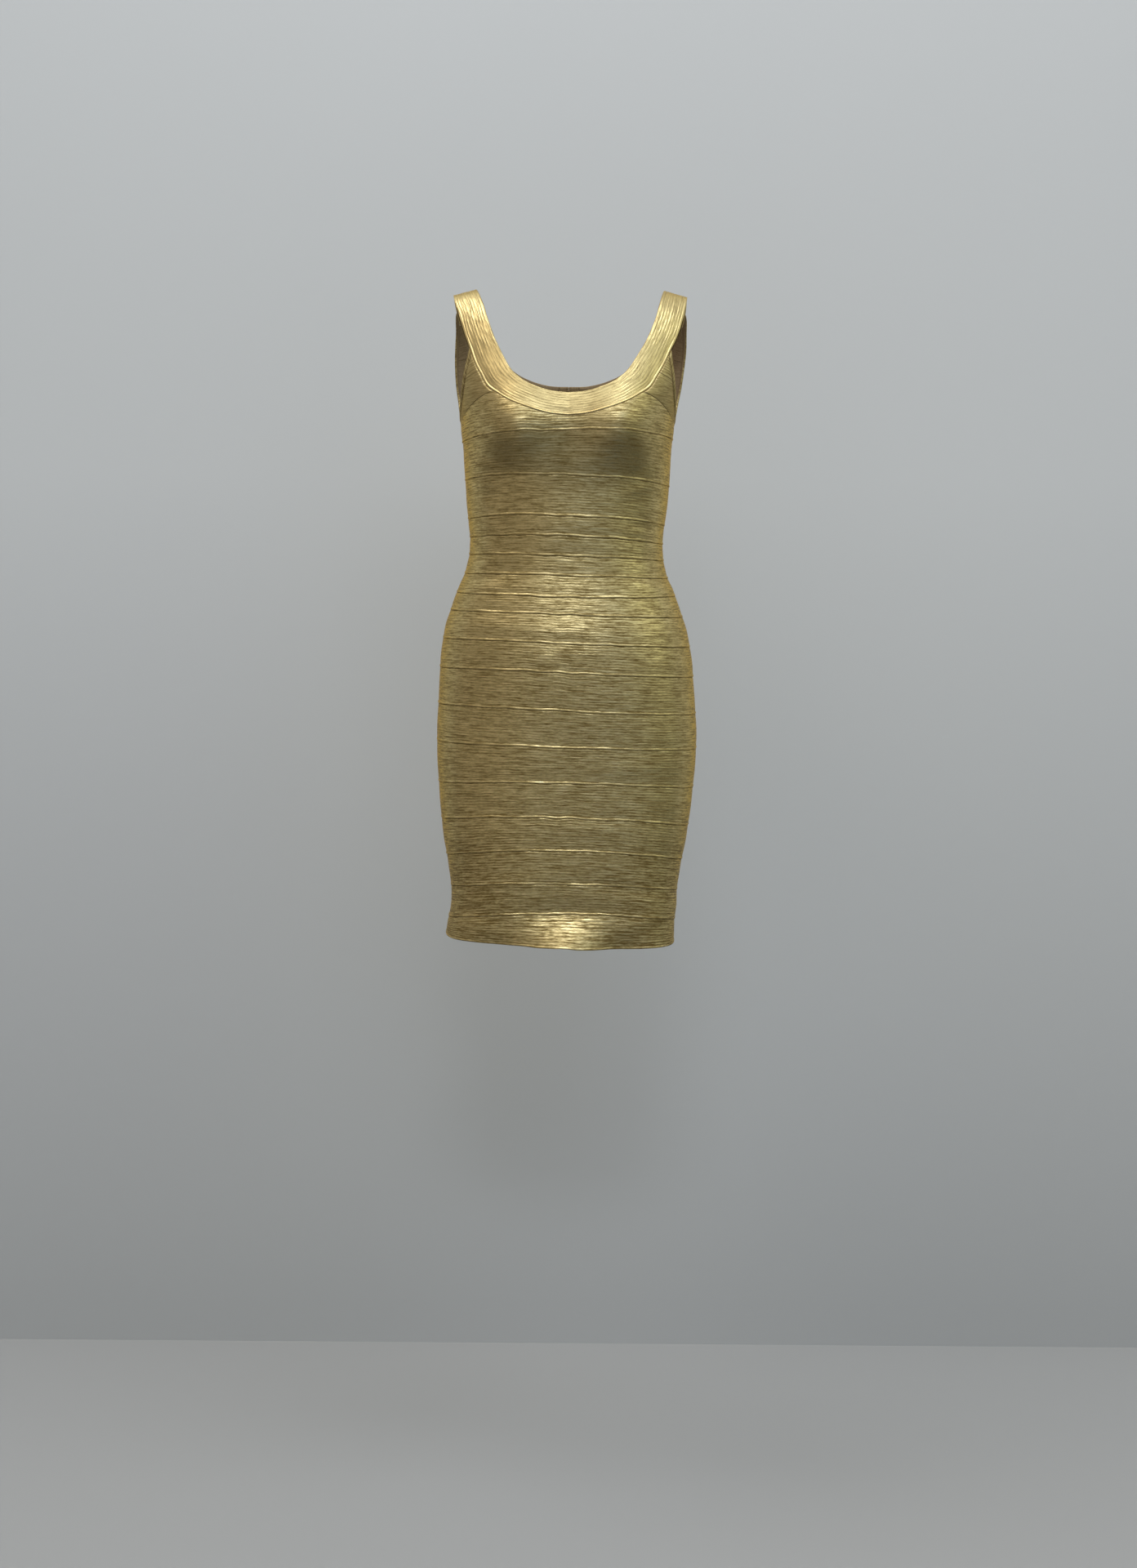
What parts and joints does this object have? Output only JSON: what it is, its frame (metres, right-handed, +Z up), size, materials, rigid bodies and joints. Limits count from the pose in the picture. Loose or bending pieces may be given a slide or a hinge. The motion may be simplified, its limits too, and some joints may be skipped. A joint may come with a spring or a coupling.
{
  "type": "bodycon dress",
  "caption": "Sleeveless bodycon dress of horizontal bandage-knit bands with a ribbed scoop neckband, hollow in its worn shape.",
  "frame": {"origin": "midway between the two straps, on the line where the wearer's shoulders carry their undersides", "axes": "+Z up along the dress, -Y towards its front, +X towards the wearer's left"},
  "size_m": [0.3183, 0.2409, 0.7887],
  "materials": {
    "foil_knit": "gold foil on a fine rib knit",
    "neckband_knit": "paler gold foil on a lengthwise rib",
    "zip_metal": "polished gold-coloured metal"
  },
  "bodies": {
    "dress": {"armhole_binding_left": "foil_knit", "armhole_binding_right": "foil_knit", "back_band_01_left": "foil_knit", "back_band_01_right": "foil_knit", "back_band_02_left": "foil_knit", "back_band_02_right": "foil_knit", "back_band_03_left": "foil_knit", "back_band_03_right": "foil_knit", "back_band_04_left": "foil_knit", "back_band_04_right": "foil_knit", "back_band_05_left": "foil_knit", "back_band_05_right": "foil_knit", "back_band_06_left": "foil_knit", "back_band_06_right": "foil_knit", "back_band_07_left": "foil_knit", "back_band_07_right": "foil_knit", "back_band_08_left": "foil_knit", "back_band_08_right": "foil_knit", "back_band_09_left": "foil_knit", "back_band_09_right": "foil_knit", "back_band_10_left": "foil_knit", "back_band_10_right": "foil_knit", "back_band_11": "foil_knit", "back_band_12": "foil_knit", "back_band_13": "foil_knit", "back_band_14": "foil_knit", "back_band_15": "foil_knit", "back_band_16": "foil_knit", "back_band_17": "foil_knit", "back_band_18": "foil_knit", "back_chest_left": "foil_knit", "back_chest_right": "foil_knit", "back_shoulder_left": "foil_knit", "back_shoulder_right": "foil_knit", "front_band_01": "foil_knit", "front_band_02": "foil_knit", "front_band_03": "foil_knit", "front_band_04": "foil_knit", "front_band_05": "foil_knit", "front_band_06": "foil_knit", "front_band_07": "foil_knit", "front_band_08": "foil_knit", "front_band_09": "foil_knit", "front_band_10": "foil_knit", "front_band_11": "foil_knit", "front_band_12": "foil_knit", "front_band_13": "foil_knit", "front_band_14": "foil_knit", "front_band_15": "foil_knit", "front_band_16": "foil_knit", "front_band_17": "foil_knit", "front_band_18": "foil_knit", "front_chest_left": "foil_knit", "front_chest_right": "foil_knit", "front_shoulder_left": "foil_knit", "front_shoulder_right": "foil_knit", "neckband": "neckband_knit", "zip_slider": "zip_metal"},
    "pull_tab": {"zip_pull_tab": "zip_metal"}
  },
  "joints": [
    {"name": "pull_tab_hinge", "type": "hinge", "parent": "dress", "child": "pull_tab", "pos_m": [0, 0.10487, -0.11259], "axis": [1, 0, 0], "range_deg": [0, 150]}
  ]
}
